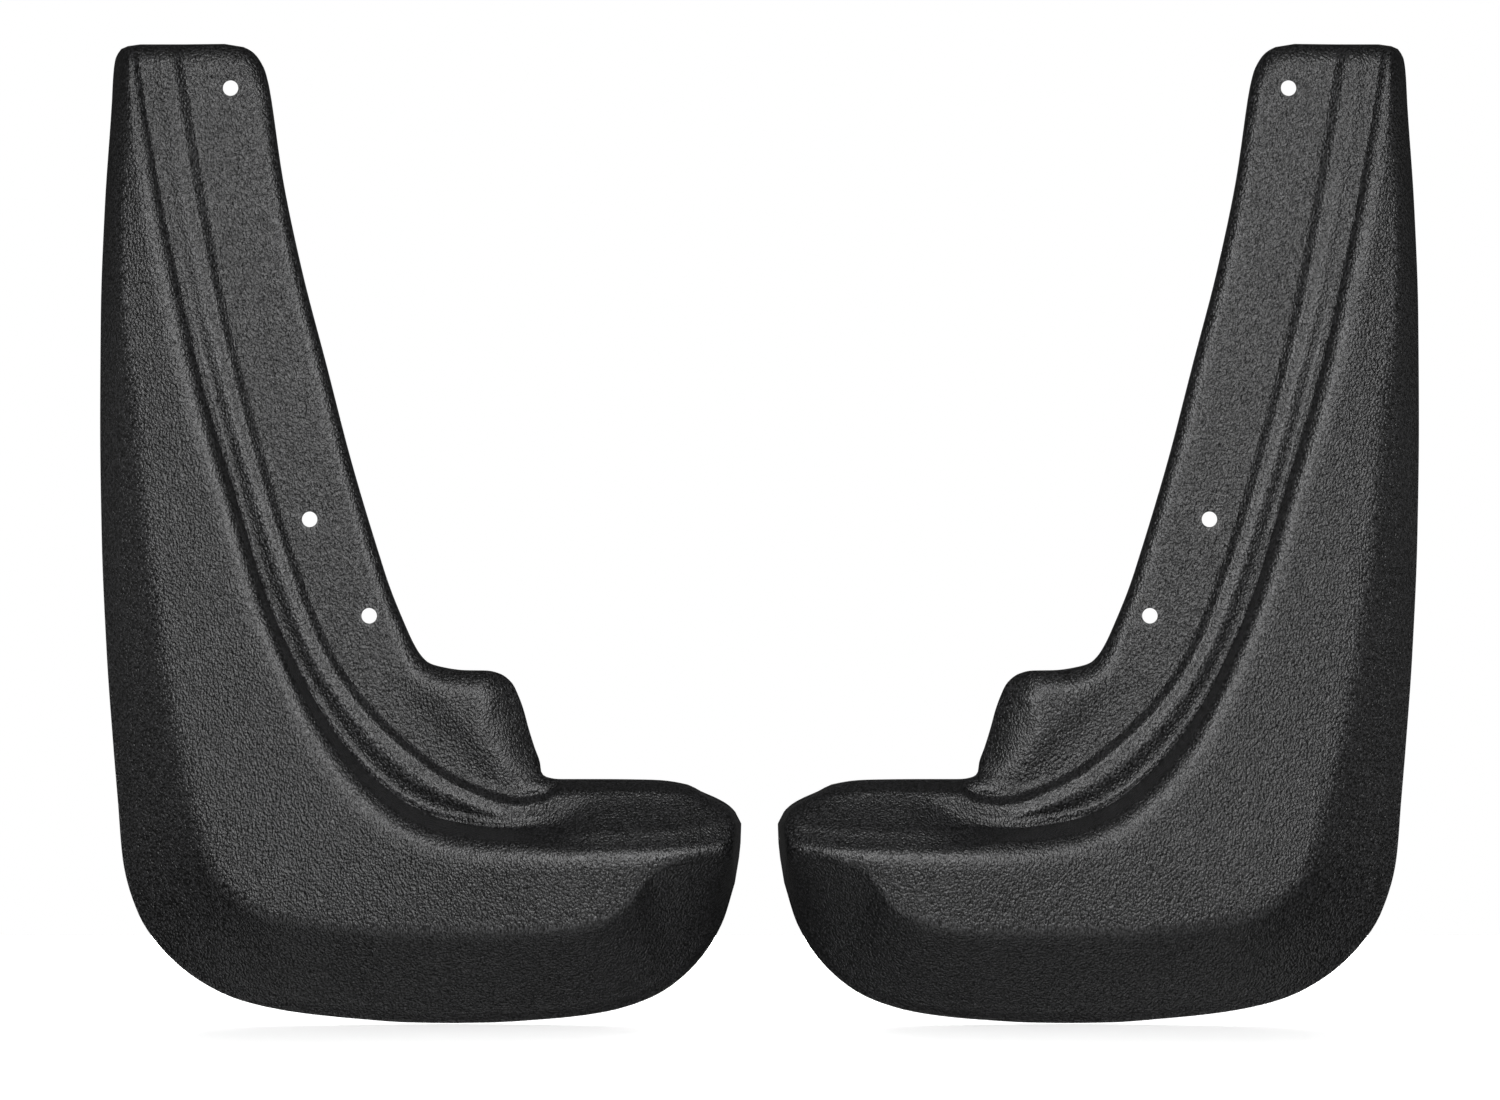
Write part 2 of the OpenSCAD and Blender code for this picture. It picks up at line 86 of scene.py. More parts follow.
WALL = [
    [0, -40.9, 20, 4.2], [25, -37.7, -5.3, 4.2], [71, -29.2, -50.2, 4.2], [117, -19.7, -95.1, 4],
    [163, -8.8, -140, 3.3], [219, 5.2, -192, 2.3], [257, 15.7, -227.9, 2], [295, 30.1, -262.3, 2],
    [327, 46, -289.1, 2.5], [359, 65.3, -311.2, 3.1], [384, 84.8, -324.4, 3.7],
    [406, 101.5, -329.4, 5.2], [417, 109.8, -330.7, 6.9], [430, 122, -332.2, 9.4],
    [439, 131, -332.8, 11.2], [457, 148.5, -330.5, 14.6], [475, 166.5, -328.5, 17.8],
    [511, 202.5, -328, 17.3], [527, 218, -328, 15], [538, 229.9, -331.2, 11]
]
VALLEY = [
    [0, -21.4, 20, 0], [25, -17.2, -4.9, 0], [71, -9.8, -49.7, 0], [117, -1.4, -94.7, 0],
    [163, 9.6, -139.5, 0], [219, 22.6, -186.3, 0], [257, 33.7, -221, 0], [295, 47.5, -253.7, 0],
    [327, 63.4, -276.4, 0], [359, 82.4, -294.7, 0], [384, 98.7, -306.7, 0.1], [417, 112.9, -313.9, 0.5],
    [439, 131, -318.2, 1.8], [448, 141.5, -316.8, 2], [457, 148.5, -313.3, 1.4],
    [475, 166.5, -313.1, 1.2], [493, 189, -313, 1.2], [511, 204.7, -315, 1.2], [527, 217.2, -321, 1],
    [538, 227.2, -325.9, 1]
]
FLANGE = [
    [0, -3, 20.2], [6, 1.5, 12.5], [14, -5.7, 5], [25, -12.9, -3.4], [71, -6.9, -48.4],
    [117, 1.6, -93.4], [163, 12.7, -137.8], [219, 25.2, -184.8], [257, 36.2, -220.3],
    [295, 50.2, -252.7], [327, 65.7, -275.1], [359, 85.1, -292.4], [384, 100.9, -304.3],
    [417, 115.2, -311.4], [439, 132, -316], [448, 141.6, -314.5], [457, 148.5, -312.3],
    [475, 166.5, -312.3], [493, 189.5, -312.2], [511, 205.1, -314.2], [527, 217.6, -320.1],
    [538, 226.2, -324.7]
]
INNER = [
    [0, 5.6, 18.8], [2, 8.4, 17.4], [4, 10.6, 15.7], [7, 13, 12.6], [12, 15.3, 8], [18, 16.4, 4],
    [25, 17.2, 0.5], [71, 23.4, -41], [117, 32.1, -82.5], [163, 43, -124.5], [210, 54.2, -167.9],
    [257, 66.8, -210.1], [276, 71.5, -224.5], [295, 78.8, -242.5], [303, 82, -249.5],
    [312, 85.7, -255.5], [319, 89, -258.6], [327, 93.1, -260.1], [343, 105, -262], [359, 115.1, -262.2],
    [373, 121.4, -263.7], [384, 126.7, -268], [394, 129.2, -272.9], [406, 131.8, -279.9],
    [417, 134, -288], [430, 136.8, -297], [439, 139.2, -303.8], [444, 139.8, -308], [448, 141.8, -310],
    [457, 148.5, -311.1], [475, 166.5, -311.1], [493, 190, -311.4], [511, 205.5, -313.5],
    [519, 212, -316.7], [527, 218, -319.3], [534, 222.5, -321.7], [538, 224.5, -323.1]
]
# Lists of [distance down the crest, value]. A PLACE is a share of the way from WALL to VALLEY, a RISE is
# measured from WALL's height, SHOULDER_FALL from the large bead's crown, and WALL_ANGLE is in degrees.
BEAD_HEIGHT = [
    [0, 4.6], [71, 4.6], [117, 4.5], [163, 4.5], [210, 4.5], [295, 4.8], [327, 5.5], [359, 6.3],
    [384, 6.9], [406, 7.8], [417, 8.3], [430, 9.1], [439, 9.7], [448, 10.3], [475, 11], [511, 10.6],
    [527, 8.8], [538, 6.6]
]
SMALL_BEAD_RISE = [
    [0, 0], [117, 0], [163, 0.2], [210, 0.5], [295, 0.7], [359, 0.8], [406, 0.6], [417, 0.3],
    [430, -0.1], [457, -1.6], [475, -3], [538, -2.2]
]
GROOVE_RISE = [
    [0, 0], [117, -0.05], [163, -0.1], [210, 0.2], [295, 0.3], [359, 0.4], [384, 0.4], [406, 0.2],
    [417, 0], [430, -0.3], [457, -2.8], [475, -5.5], [538, -4]
]
SMALL_BEAD_PLACE = [
    [0, 0.12], [210, 0.07], [257, 0.11], [327, 0.12], [359, 0.1], [384, 0.12], [406, 0.14], [430, 0.14],
    [475, 0.16], [538, 0.16]
]
GROOVE_PLACE = [
    [0, 0.2], [210, 0.13], [257, 0.15], [327, 0.17], [359, 0.16], [384, 0.18], [406, 0.19], [430, 0.24],
    [475, 0.32], [538, 0.32]
]
CROWN_PLACE = [
    [0, 0.42], [163, 0.42], [210, 0.47], [257, 0.52], [295, 0.5], [327, 0.55], [359, 0.55], [384, 0.56],
    [406, 0.5], [430, 0.35], [457, 0.46], [475, 0.5], [538, 0.5]
]
SHOULDER_PLACE = [
    [0, 0.68], [71, 0.67], [163, 0.67], [210, 0.68], [257, 0.72], [295, 0.72], [327, 0.75], [359, 0.77],
    [384, 0.76], [406, 0.75], [430, 0.66], [457, 0.75], [475, 0.78], [538, 0.78]
]
SHOULDER_FALL = [
    [0, 0.6], [295, 0.6], [384, 0.8], [417, 0.9], [430, 1.2], [457, 2.2], [475, 2.6], [538, 2.2]
]
WALL_ANGLE = [
    [0, 60], [71, 60], [117, 60], [163, 61], [210, 68], [295, 74], [430, 74], [448, 66], [475, 48],
    [538, 47]
]
CREST_GROWTH = [
    [0, 1.1], [25, 1.2], [71, 1.3], [117, 1.6], [163, 1.5], [210, 1.3], [295, 1.3], [327, 1.7], [359, 2],
    [384, 2.1], [430, 2.1], [457, 1.4], [538, 1.1]
]
LEDGE_SHARE = [[0, 0], [448, 0], [475, 1], [527, 1], [538, 0.6]]
PAD_HEIGHT = [[0, 0], [300, 0], [330, 1.6], [350, 3], [430, 3], [444, 2], [452, 0], [538, 0]]
EDGE_HEIGHT = [[0, 0], [430, 0], [448, 1], [457, -0.4], [475, -0.5], [538, -0.5]]
OUTER_FOLD_RADIUS = [[0, 8.5], [25, 8.5], [71, 9], [295, 9], [359, 8], [384, 6], [417, 5], [538, 4.5]]
INNER_FOLD_RADIUS = [
    [0, 8.5], [12, 8], [25, 5.2], [295, 5.2], [312, 7], [335, 9], [366, 11], [378, 20], [390, 28],
    [425, 28], [442, 10], [448, 5], [457, 4], [538, 4.5]
]

THICKNESS = 3.0
# Height of the rim's lower edge, and the rounding of that edge
RIM = -10.0
EDGE_ROUND = 0.4
CREST_RADIUS = 5.0
# Differences in height within which the bevel blends into the face, and the wall's foot into the beads
BEVEL_SOFTNESS = 2.5
WALL_FOOT_SOFTNESS = 2.0
# Ledge along the foot's shelf
LEDGE_HEIGHT = 1.0
LEDGE_FROM_CREST = 11.0
LEDGE_WIDTH = 2.6
# Slope at which the face meets the crest's rounding, the run over which it turns to that slope,
# and the largest share of the face's width that this run may take
CREST_FALL = 0.16
CREST_RUN_IN = 5.0
CREST_RUN_SHARE = 0.8
# Gentle roll of the sheet towards its edges; it fades in over heights from -EDGE_ROLL_ONSET to 0
EDGE_ROLL = 1.6
EDGE_ROLL_WIDTH = 12.0
EDGE_ROLL_ONSET = 4.0
# The beads are half as deep on the back as on the front
BACK_BEAD_SHARE = 0.5
# The tab's raised pad: where its slope starts and ends, and how that slope leans
PAD_LOW_X = 72.0
PAD_HIGH_X = 96.0
PAD_LEAN = 1.0
PAD_LEVEL = -271.0
# Slope of the folded rim
DRAFT = math.radians(84)
# Plane halfway between the two flaps
MIRROR_X = 238.1
# Screw holes as [x, z], their radius and the rounding of their lips
HOLES = [(0.0, 0.0), (35.6, -194.1), (62.4, -237.5)]
HOLE_RADIUS = 3.5
HOLE_ROUND = 0.35
# How far the plugs that cut the holes stand out of the sheet, and the number of their sides
PLUG_REACH = 0.6
PLUG_SIDES = 64
# Steps from the sheet's edge round the rim's lip: shares of EDGE_ROUND across and up
RIM_STEPS = [(0.3, 0.3), (1.0, 0.0)]

# Distances down the crest of the mesh's rows, and the number of columns in each span between two guides;
# both are made FINER times as dense
ROW_MARKS = ([0, 0.6, 2, 4, 7, 12, 18] + list(range(25, 256, 23)) + list(range(257, 454, 7))
             + list(range(460, 527, 11)) + [527, 531, 534, 536, 537.4, LAST])
COLUMN_COUNTS = [9, 6, 7, 2, 3, 3, 3, 4, 3, 8]
FINER = 3
# Number of CREST among the guides, and of the span from it to WALL
CREST_NUMBER = 2
# Points whose distances from the edge are worked out in one go
POINTS_AT_ONCE = 2000
# Lengths up to this one count as zero
TINY = 1e-9


def along(rows, s, k=1):
    """Field k of a list at distances s, on a curve through its rows that never overshoots them."""
    x, y = np.array([(r[0], r[k]) for r in rows], float).T
    h = np.diff(x)
    rise = np.diff(y) / h
    slope = np.zeros(len(x))
    slope[0], slope[-1] = rise[0], rise[-1]
    before, after = rise[:-1], rise[1:]
    near, far = h[:-1], h[1:]
    same = before * after > 0
    with np.errstate(divide="ignore", invalid="ignore"):
        mean = 3 * (near + far) / ((2 * far + near) / before + (far + 2 * near) / after)
    slope[1:-1] = np.where(same, mean, 0)
    s = np.clip(np.asarray(s, float), x[0], x[-1])
    i = np.clip(np.searchsorted(x, s, side="right") - 1, 0, len(x) - 2)
    t = (s - x[i]) / h[i]
    u = 1 - t
    return (y[i] * (1 + 2 * t) * u * u + slope[i] * h[i] * t * u * u
            + y[i + 1] * t * t * (3 - 2 * t) - slope[i + 1] * h[i] * t * t * u)


def place(rows, s):
    """Points [x, z] of a guide at distances s."""
    return np.stack([along(rows, s, 1), along(rows, s, 2)], -1)


def soft_min(a, b, softness):
    """Lower envelope of two heights, rounded where they cross."""
    overlap = np.maximum(softness - np.abs(a - b), 0) / softness
    return np.minimum(a, b) - overlap ** 2 * softness / 4


def soft_max(a, b, softness):
    """Upper envelope of two heights, rounded where they cross."""
    return -soft_min(-a, -b, softness)


def smooth_step(t):
    """Smooth rise from 0 to 1 as t goes from 0 to 1."""
    c = np.clip(t, 0, 1)
    return c * c * (3 - 2 * c)


def flange_height(p, s):
    """Height of the flange at points p, with the raised pad on its tab."""
    across = p[..., 0] + PAD_LEAN * (p[..., 1] - PAD_LEVEL)
    rise = smooth_step((across - PAD_LOW_X) / (PAD_HIGH_X - PAD_LOW_X))
    return along(PAD_HEIGHT, s) * rise + along(EDGE_HEIGHT, s)


def inward(rows, s, side, inset):
    """Shift of an edge guide towards the middle of the sheet."""
    step = place(rows, np.minimum(s + 0.5, LAST)) - place(rows, np.maximum(s - 0.5, 0))
    step /= np.linalg.norm(step, axis=-1, keepdims=True)
    return np.stack([-step[:, 1], step[:, 0]], -1) * side * inset


def edge_distance(points, ring):
    """Distance of each point from a closed ring of points, in the plane."""
    a, b = ring, np.roll(ring, -1, axis=0)
    keep = np.linalg.norm(b - a, axis=1) > TINY
    a, b = a[keep], b[keep]
    ab = b - a
    length2 = (ab ** 2).sum(1)
    out = np.empty(len(points))
    for k in range(0, len(points), POINTS_AT_ONCE):
        p = points[k:k + POINTS_AT_ONCE, None, :] - a[None]
        t = np.clip((p * ab[None]).sum(-1) / length2, 0, 1)
        out[k:k + POINTS_AT_ONCE] = np.sqrt(((p - ab[None] * t[..., None]) ** 2).sum(-1).min(1))
    return out


def fold_drop(d, b, r):
    """Drop of the folded edge at distance d, for a fold of radius r above a rim that lies b below."""
    arc_drop = r * (1 - math.cos(DRAFT))
    straight = np.maximum(b - arc_drop, 0) / math.tan(DRAFT)
    short = np.sqrt(np.maximum(2 * r * b - b * b, 0))
    width = np.where(b > arc_drop, r * math.sin(DRAFT) + straight, short)
    into_arc = np.clip(width - d, 0, r)
    return np.where(d < straight, b - d * math.tan(DRAFT), r - np.sqrt(r * r - into_arc ** 2))


def finer_rows():
    """Distances down the crest of every row."""
    marks = np.array(ROW_MARKS, float)
    parts = [a + (b - a) * np.arange(FINER) / FINER for a, b in zip(marks[:-1], marks[1:])]
    return np.concatenate(parts + [marks[-1:]])


def finer_columns():
    """Span and share of the span at every column, closer together towards both edges."""
    out = []
    final = len(COLUMN_COUNTS) - 1
    for span, count in enumerate(COLUMN_COUNTS):
        share = np.arange(count * FINER) / (count * FINER)
        if span == 0:
            share = share ** 2
        elif span == final:
            share = 1 - (1 - share) ** 2
        out += [(span, f) for f in share]
    return out + [(final, 1.0)]


def gap(a, b):
    """Distances between two guides, row by row."""
    return np.linalg.norm(a - b, axis=1)


def guide_points(s, inset):
    """Points of all the guides, the widths between those of the lists above, and the beads' shares."""
    plan = [place(g, s) for g in (OUTER, BEVEL, CREST, WALL, VALLEY, FLANGE, INNER)]
    outer, bevel, crest, wall, valley, flange, inner = plan
    widths = [gap(a, b) for a, b in zip(plan[:-1], plan[1:])]
    bevel_width, face_width, _, bead_width, step_width, flange_width = widths
    inner_width = bead_width + step_width + flange_width
    outer_shift, inner_shift = inward(OUTER, s, 1, inset), inward(INNER, s, -1, inset)
    moved_bevel = bevel + outer_shift * (face_width / (bevel_width + face_width))[:, None]
    moved_valley = valley + inner_shift * (bead_width / inner_width)[:, None]
    moved_flange = flange + inner_shift * ((bead_width + step_width) / inner_width)[:, None]
    shares = [along(g, s) for g in (SMALL_BEAD_PLACE, GROOVE_PLACE, CROWN_PLACE, SHOULDER_PLACE)]
    beads_at = [wall + (moved_valley - wall) * share[:, None] for share in shares]
    guides = np.stack([outer + outer_shift, moved_bevel, crest, wall] + beads_at
                      + [moved_valley, moved_flange, inner + inner_shift], 1)
    return guides, widths, shares


def fold_edges(grid, span, s, inset):
    """Rolls the sheet's edges and folds them back to the rim."""
    flat = grid[:, :, :2]
    ring = np.concatenate([flat[:, 0], flat[-1, 1:], flat[::-1, -1][1:], flat[0, ::-1][1:-1]])
    d = edge_distance(flat.reshape(-1, 2), ring).reshape(grid.shape[:2])
    outer_radius, inner_radius = (along(g, s)[:, None] for g in (OUTER_FOLD_RADIUS, INNER_FOLD_RADIUS))
    radius = np.where(span[None] <= CREST_NUMBER, outer_radius, inner_radius) - inset
    base = RIM + EDGE_ROUND
    onset = smooth_step((grid[:, :, 2] + inset) / EDGE_ROLL_ONSET + 1)
    roll = EDGE_ROLL * np.maximum(1 - (d + inset) / EDGE_ROLL_WIDTH, 0) ** 2 * onset
    unfolded = np.maximum(grid[:, :, 2] - roll, base)
    grid[:, :, 2] = unfolded - fold_drop(d, unfolded - base, radius)
    for edge in (grid[0], grid[-1], grid[:, 0], grid[:, -1]):
        edge[:, 2] = base


def sheet(inset):
    """The front sheet (inset 0) or the back one (inset by the thickness): a grid of [x, z, height]."""
    s = inset + (LAST - 2 * inset) * finer_rows() / LAST
    columns = finer_columns()
    span = np.array([c[0] for c in columns])
    part = np.array([c[1] for c in columns])
    guides, widths, shares = guide_points(s, inset)
    bevel_width, face_width, wall_width, bead_width, step_width, flange_width = widths
    inner_width = bead_width + step_width + flange_width
    outer_h, bevel_h, crest_h, wall_h, valley_h = (
        along(g, s, 3) for g in (OUTER, BEVEL, CREST, WALL, VALLEY))
    bevel_slope = (bevel_h - outer_h) / bevel_width
    run_in = np.minimum(CREST_RUN_IN, CREST_RUN_SHARE * face_width)
    face_slope = (crest_h - bevel_h + CREST_FALL * run_in / 2) / (face_width - run_in / 2)
    turn = (face_slope + CREST_FALL) / (2 * run_in)
    bead_slope = (wall_h - valley_h) / bead_width
    keep = BACK_BEAD_SHARE if inset > 0 else 1
    crown_h = along(BEAD_HEIGHT, s)
    tops = (wall_h + along(SMALL_BEAD_RISE, s), wall_h + along(GROOVE_RISE, s), crown_h,
            crown_h - along(SHOULDER_FALL, s))
    plain = [wall_h - bead_slope * bead_width * share for share in shares]
    bead_h = [p + (t - p) * keep for p, t in zip(plain, tops)]
    flange_h = flange_height(place(FLANGE, s), s)
    steepness = np.radians(along(WALL_ANGLE, s))
    full_r = CREST_RADIUS * along(CREST_GROWTH, s)
    round_r = full_r - inset
    fall_angle = math.atan(CREST_FALL)
    centre_q = -full_r * math.sin(fall_angle)
    centre_h = crest_h - full_r * math.cos(fall_angle)
    round_start = centre_q + round_r * math.sin(fall_angle)
    round_end = centre_q + round_r * np.sin(steepness)
    ledge = LEDGE_HEIGHT * along(LEDGE_SHARE, s)
    grid = np.zeros((len(s), len(columns), 3))
    for i in range(len(s)):
        g = guides[i]
        at = np.r_[0, np.cumsum(np.linalg.norm(np.diff(g, axis=0), axis=1))]
        p = g[span] + (g[span + 1] - g[span]) * part[:, None]
        q = at[span] + (at[span + 1] - at[span]) * part - at[CREST_NUMBER]
        bevel_line = (bevel_h[i] + bevel_slope[i] * (q + face_width[i])
                      - inset * math.hypot(1, bevel_slope[i]))
        face_line = (crest_h[i] + face_slope[i] * q - inset * math.hypot(1, face_slope[i])
                     + turn[i] * (run_in[i] ** 2 - np.maximum(q + run_in[i], 0) ** 2))
        round_q = np.clip(q, round_start[i], round_end[i]) - centre_q[i]
        crest_line = (centre_h[i] + np.sqrt(round_r[i] ** 2 - round_q ** 2)
                      - np.maximum(q - round_end[i], 0) * math.tan(steepness[i]))
        top_line = np.where(q > round_start[i], crest_line, face_line)
        bulge = soft_min(bevel_line, top_line, BEVEL_SOFTNESS)
        bulge = bulge + ledge[i] * np.exp(-((q - LEDGE_FROM_CREST) / LEDGE_WIDTH) ** 2)
        w, b = wall_width[i], bead_width[i]
        flange_q = w + b + step_width[i]
        beads = ([(w, wall_h[i])] + [(w + b * share[i], h[i]) for share, h in zip(shares, bead_h)]
                 + [(w + b, valley_h[i]), (flange_q, flange_h[i]), (w + inner_width[i], flange_h[i])])
        bead_line = np.where(q >= flange_q, flange_height(p, s[i]) - inset,
                             along(beads, np.maximum(q, w)) - inset * math.hypot(1, bead_slope[i]))
        wall_line = np.where(q <= 0, bulge, soft_max(bulge, bead_line, WALL_FOOT_SOFTNESS))
        h = np.where(q >= flange_q, bead_line, wall_line)
        grid[i] = np.c_[p, h]
    fold_edges(grid, span, s, inset)
    return grid


def rim_order(rows, cols):
    """Grid points of the boundary, in order round it."""
    return (list(range(cols - 1))
            + [i * cols + cols - 1 for i in range(rows - 1)]
            + [(rows - 1) * cols + j for j in range(cols - 1, 0, -1)]
            + [i * cols for i in range(rows - 1, 0, -1)])


def flap_mesh():
    """Points in metres and faces of one whole flap: front sheet, rounded rim and back sheet."""
    front, back = sheet(0.0), sheet(THICKNESS)
    rows, cols = front.shape[:2]
    total = rows * cols
    flat_front, flat_back = front.reshape(-1, 3), back.reshape(-1, 3)
    index = np.arange(total).reshape(rows, cols)
    corners = index[:-1, :-1], index[:-1, 1:], index[1:, 1:], index[1:, :-1]
    a, b, c, d = (corner.ravel() for corner in corners)
    faces = [np.stack([a, b, c, d], 1), np.stack([a, d, c, b], 1) + total]
    ring = np.array(rim_order(rows, cols))
    outside, inside = flat_front[ring], flat_back[ring]
    across = inside[:, :2] - outside[:, :2]
    across /= np.linalg.norm(across, axis=1, keepdims=True)
    loops = []
    for start, way, steps in ((outside, 1, RIM_STEPS), (inside, -1, RIM_STEPS[::-1])):
        for shift, height in steps:
            xz = start[:, :2] + across * way * EDGE_ROUND * shift
            loops.append(np.c_[xz, np.full(len(ring), RIM + EDGE_ROUND * height)])
    points = np.concatenate([flat_front, flat_back] + loops)
    lip = [2 * total + k * len(ring) + np.arange(len(ring)) for k in range(len(loops))]
    chain = [ring] + lip + [ring + total]
    for p, q in zip(chain[:-1], chain[1:]):
        faces.append(np.stack([p, q, np.roll(q, -1), np.roll(p, -1)], 1))
    x, z, h = points.T
    return np.stack([x, -h, z], 1) * MM, np.concatenate(faces)


def new_mesh(name, points, faces):
    me = bpy.data.meshes.new(name)
    me.from_pydata(points.tolist(), [], [list(map(int, f)) for f in faces])
    me.update()
    return me


def linked(name, me):
    ob = bpy.data.objects.new(name, me)
    bpy.context.scene.collection.objects.link(ob)
    return ob


def hole_cutter():
    """Three lathe-turned plugs that flare where they leave the sheet, so each hole has rounded lips."""
    r, c, sides = HOLE_RADIUS, HOLE_ROUND, PLUG_SIDES
    lip = [(-c * (1 - math.cos(w)), r + c * (1 - math.sin(w))) for w in np.radians([0, 30, 60, 90])]
    front = [(PLUG_REACH, r + c + PLUG_REACH)] + lip
    profile = front + [(-THICKNESS - h, w) for h, w in reversed(front)]
    points, faces = [], []
    for hx, hz in HOLES:
        base = len(points)
        for h, w in profile:
            for k in range(sides):
                turn = 2 * math.pi * k / sides
                points.append((hx + w * math.cos(turn), -h, hz + w * math.sin(turn)))
        for j in range(len(profile) - 1):
            for k in range(sides):
                n = (k + 1) % sides
                faces.append([base + j * sides + k, base + (j + 1) * sides + k,
                              base + (j + 1) * sides + n, base + j * sides + n])
        faces.append([base + k for k in range(sides)])
        faces.append([base + (len(profile) - 1) * sides + k for k in reversed(range(sides))])
    return np.array(points) * MM, faces


def drilled(points, faces):
    """The flap's mesh with its screw holes cut."""
    body = linked("flap_body", new_mesh("flap_body", points, faces))
    cut_points, cut_faces = hole_cutter()
    cutter = linked("hole_cutter", new_mesh("hole_cutter", cut_points, cut_faces))
    mod = body.modifiers.new("holes", "BOOLEAN")
    mod.operation = "DIFFERENCE"
    mod.object = cutter
    mod.solver = "EXACT"
    bpy.context.view_layer.update()
    me = bpy.data.meshes.new_from_object(body.evaluated_get(bpy.context.evaluated_depsgraph_get()))
    bpy.data.objects.remove(body)
    bpy.data.objects.remove(cutter)
    return me


# ---------------------------------------------------------------- the two flaps
# Slope, as 1 - |cosine|, from which a point counts as stretched, and how fast that grows
STRETCH_SLOPE = 0.3
STRETCH_GAIN = 2.2
# Curvatures, per metre, from which a ridge is fully worn and carries the full painted highlight, and from
# which it is a cut edge with less of both
RIDGE_CURVE = 50.0
SHARP_CURVE = 600.0
# Wear and painted highlight grow from the normal's cosine given first, over the span given next, and from the
# height given next, over the metres down given last
WEAR_AND_HIGHLIGHT_COSINE = 0.82
WEAR_AND_HIGHLIGHT_COSINE_SPAN = 0.12
WEAR_AND_HIGHLIGHT_TOP = 0.02
WEAR_AND_HIGHLIGHT_FADE = 0.14
# Degrees between faces from which their edge is shaded sharp
SHARP_ANGLE = 38


def stretch_attribute(me):
    """How much the moulding stretched the sheet at each point, from its slope: 0 flat, 1 steep."""
    n = np.zeros(len(me.vertices) * 3, np.float32)
    me.vertex_normals.foreach_get("vector", n)
    slope = 1 - np.abs(n.reshape(-1, 3)[:, 1])
    stretched = smooth_step((slope - STRETCH_SLOPE) * STRETCH_GAIN)
    attribute = me.attributes.new("stretch", "FLOAT", "POINT")
    attribute.data.foreach_set("value", stretched.astype(np.float32))


def ridge_attribute(me):
    """How worn each point is and how much painted highlight it gets: 1 on the gentle side of a convex ridge,
    0 on flats, hollows and steep walls.
    """
    count = len(me.vertices)
    p, n = np.zeros(count * 3), np.zeros(count * 3)
    me.vertices.foreach_get("co", p)
    me.vertex_normals.foreach_get("vector", n)
    p, n = p.reshape(-1, 3), n.reshape(-1, 3)
    pair = np.zeros(len(me.edges) * 2, np.int32)
    me.edges.foreach_get("vertices", pair)
    a, b = pair.reshape(-1, 2).T
    step = p[b] - p[a]
    bend = ((n[b] - n[a]) * step).sum(1) / np.maximum((step ** 2).sum(1), TINY)
    total = np.bincount(a, bend, count) + np.bincount(b, bend, count)
    share = np.bincount(a, minlength=count) + np.bincount(b, minlength=count)
    curve = total / np.maximum(share, 1)
    gentle = smooth_step((np.abs(n[:, 1]) - WEAR_AND_HIGHLIGHT_COSINE) / WEAR_AND_HIGHLIGHT_COSINE_SPAN)
    # the same mask lessens the grain's bump and paints a highlight into the colour on the ridges
    wear_and_highlight = smooth_step(curve / RIDGE_CURVE) * gentle
    wear_and_highlight *= smooth_step((WEAR_AND_HIGHLIGHT_TOP - p[:, 2]) / WEAR_AND_HIGHLIGHT_FADE) * smooth_step(2 - curve / SHARP_CURVE)
    attribute = me.attributes.new("ridge", "FLOAT", "POINT")
    attribute.data.foreach_set("value", wear_and_highlight.astype(np.float32))


def finish_mesh(me):
    """Smooth shading with sharp cut edges, and the two attributes that the material reads."""
    me.polygons.foreach_set("use_smooth", [True] * len(me.polygons))
    me.set_sharp_from_angle(angle=math.radians(SHARP_ANGLE))
    stretch_attribute(me)
    ridge_attribute(me)
    me.update()


def mirrored(me):
    """A copy of the mesh, mirrored in the plane halfway between the flaps."""
    other = me.copy()
    co = np.zeros(len(other.vertices) * 3)
    other.vertices.foreach_get("co", co)
    co = co.reshape(-1, 3)
    co[:, 0] = 2 * MIRROR_X * MM - co[:, 0]
    other.vertices.foreach_set("co", co.ravel())
    other.flip_normals()
    other.update()
    return other


left_mesh = drilled(*flap_mesh())
flaps = []
for side, me in (("left", left_mesh), ("right", mirrored(left_mesh))):
    me.name = side + "_flap_sheet"
    finish_mesh(me)
    flap = linked(side + "_flap_sheet", me)
    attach(flap, side + "_flap")
    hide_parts(side + "_mud_flap")
    flaps.append(flap)


# ---------------------------------------------------------------- material
IOR = 1.5
# Slow wander, per metre, that bends the grain's strokes, how far it bends them, and their vertical stretch
WANDER_SCALE = 200.0
WANDER_REACH = 0.0006
STROKE_STRETCH = 0.75
# The grain's three textures: how fine each is, per metre, and its weight in the grain's height
CELL_SCALE, CELL_WEIGHT = 1080.0, -0.55
WRINKLE_SCALE, WRINKLE_WEIGHT = 1020.0, 0.9
FINE_SCALE, FINE_WEIGHT = 1600.0, 0.15
BUMP_HEIGHT = 0.0007
# Shares of the grain's height that stretching and wear take away
STRETCH_LOSS = 0.15
WEAR_LOSS = 0.28
# Colour: weights of the wrinkles and of a slow uneven tone, the sums of both at which the plastic is
# darkest and palest, its colours there, and the paler colour painted on the ridges as a highlight
TONE_SCALE = 14.0
WRINKLE_SHARE, TONE_SHARE = 0.6, 0.4
DARK_FROM, PALE_FROM = 0.3, 0.7
DARK_PLASTIC = (0.006, 0.006, 0.0064, 1)
PALE_PLASTIC = (0.014, 0.014, 0.0146, 1)
RIDGE_HIGHLIGHT_PLASTIC = (0.026, 0.026, 0.0268, 1)
# Heights of the grain's pits and tops, and how bright they are: painted shade in the pits and a painted
# highlight on the tops
PIT_HEIGHT, TOP_HEIGHT = 0.16, 0.48
PIT_PAINTED_SHADE, TOP_PAINTED_HIGHLIGHT = 0.05, 2.4
# Roughness, and how far the tone, the stretching and the wrinkles change it
ROUGHNESS = 0.27
TONE_ROUGHNESS = 0.08
STRETCH_POLISH = 0.04
WRINKLE_ROUGHNESS = 0.06


def node(tree, kind, **inputs):
    """A new node with those values on its inputs."""
    n = tree.nodes.new(kind)
    for key, value in inputs.items():
        n.inputs[key].default_value = value
    return n


